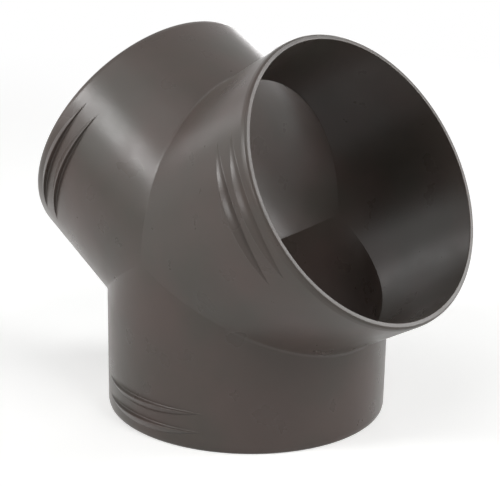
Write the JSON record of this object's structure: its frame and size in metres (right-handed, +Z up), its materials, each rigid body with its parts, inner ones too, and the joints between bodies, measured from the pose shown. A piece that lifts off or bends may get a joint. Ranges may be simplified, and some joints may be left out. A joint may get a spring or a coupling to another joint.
{
  "type": "duct wye fitting",
  "caption": "Moulded plastic wye that joins one air duct to two, with equal spigots in one plane and crescent barbs to hold each hose.",
  "frame": {"origin": "centre of the trunk's mouth, which is the face that the fitting stands on", "axes": "+Z up along the trunk's axis towards the junction, X across the two branches, Y through the flat of the fitting"},
  "size_m": [0.1156, 0.0776, 0.1002],
  "materials": {
    "body": "satin moulded plastic, warm charcoal grey"
  },
  "bodies": {
    "root": {"wye_body": "body"}
  },
  "joints": []
}
